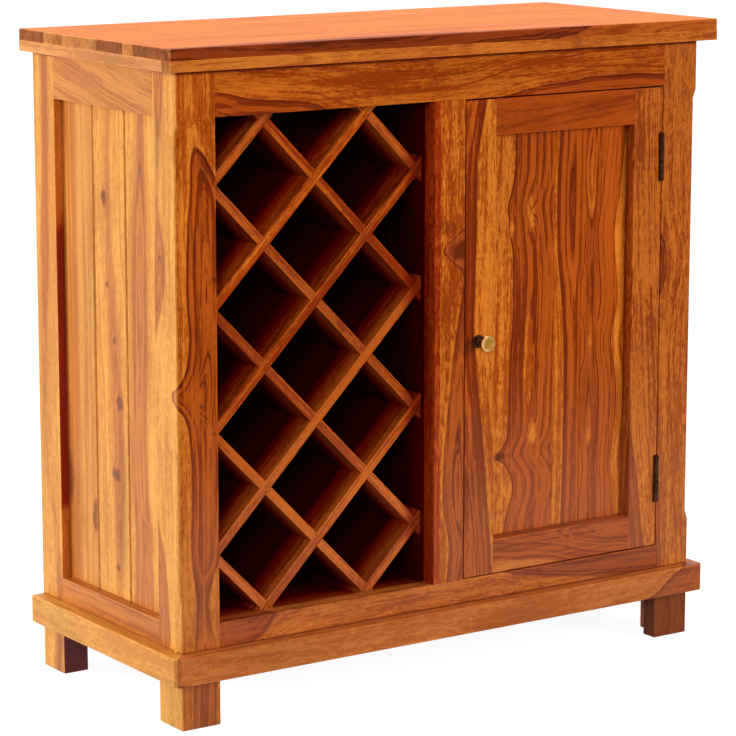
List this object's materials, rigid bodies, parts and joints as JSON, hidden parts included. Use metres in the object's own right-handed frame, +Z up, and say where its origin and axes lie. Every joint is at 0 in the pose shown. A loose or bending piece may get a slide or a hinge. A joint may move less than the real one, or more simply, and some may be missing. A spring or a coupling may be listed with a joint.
{
  "type": "bar cabinet",
  "caption": "Wooden bar cabinet with a diamond lattice wine rack beside a cupboard with one framed door, on four legs with a base moulding.",
  "frame": {"origin": "middle of the bottom of the bounding box, on the floor", "axes": "+X to the right seen from the front, +Y from the door towards the back, +Z up"},
  "size_m": [0.9, 0.408, 0.9],
  "materials": {
    "wood": "satin lacquer",
    "top_wood": "gloss lacquer",
    "plywood": "stained, matt",
    "dark_bronze": "oil-rubbed",
    "aged_brass": "aged, waxed",
    "steel": "zinc plated",
    "catch_case": "moulded"
  },
  "bodies": {
    "cabinet": {"back_bottom_rail": "wood", "back_panel": "plywood", "back_post_left": "wood", "back_post_right": "wood", "back_top_rail": "wood", "base_moulding_front": "wood", "base_moulding_left": "wood", "base_moulding_right": "wood", "bottom_board": "wood", "catch_magnet": "catch_case", "divider_stile": "wood", "front_bottom_rail": "wood", "front_stile_left": "wood", "front_stile_right": "wood", "front_top_rail": "wood", "hinge_leaves_frame": "dark_bronze", "hinge_pins": "dark_bronze", "hinge_screws_frame": "dark_bronze", "partition": "wood", "rack_board_falling_1": "wood", "rack_board_falling_2": "wood", "rack_board_falling_3": "wood", "rack_board_falling_4": "wood", "rack_board_rising_1": "wood", "rack_board_rising_2": "wood", "rack_board_rising_3": "wood", "rack_board_rising_4": "wood", "rack_corner_boards": "wood", "rack_lining": "wood", "shelf": "wood", "shelf_pegs": "steel", "side_bottom_rail_left": "wood", "side_bottom_rail_right": "wood", "side_plank_back_left": "wood", "side_plank_back_right": "wood", "side_plank_front_left": "wood", "side_plank_front_right": "wood", "side_plank_middle_left": "wood", "side_plank_middle_right": "wood", "side_stile_left": "wood", "side_stile_right": "wood", "side_top_rail_left": "wood", "side_top_rail_right": "wood", "top_board": "top_wood", "top_edging_front": "wood", "top_edging_left": "wood", "top_edging_right": "wood"},
    "door": {"catch_plate": "steel", "door_bottom_rail": "wood", "door_plank_left": "wood", "door_plank_middle": "wood", "door_plank_right": "wood", "door_stile_hinge_side": "wood", "door_stile_knob_side": "wood", "door_top_rail": "wood", "hinge_leaves_door": "dark_bronze", "hinge_screws_door": "dark_bronze", "knob": "aged_brass", "knob_rosette": "dark_bronze", "knob_screw": "steel"}
  },
  "joints": [
    {"name": "door_hinge", "type": "hinge", "parent": "cabinet", "child": "door", "pos_m": [0.36755, -0.178, 0.47375], "axis": [0, 0, 1], "range_deg": [0, 170]}
  ]
}
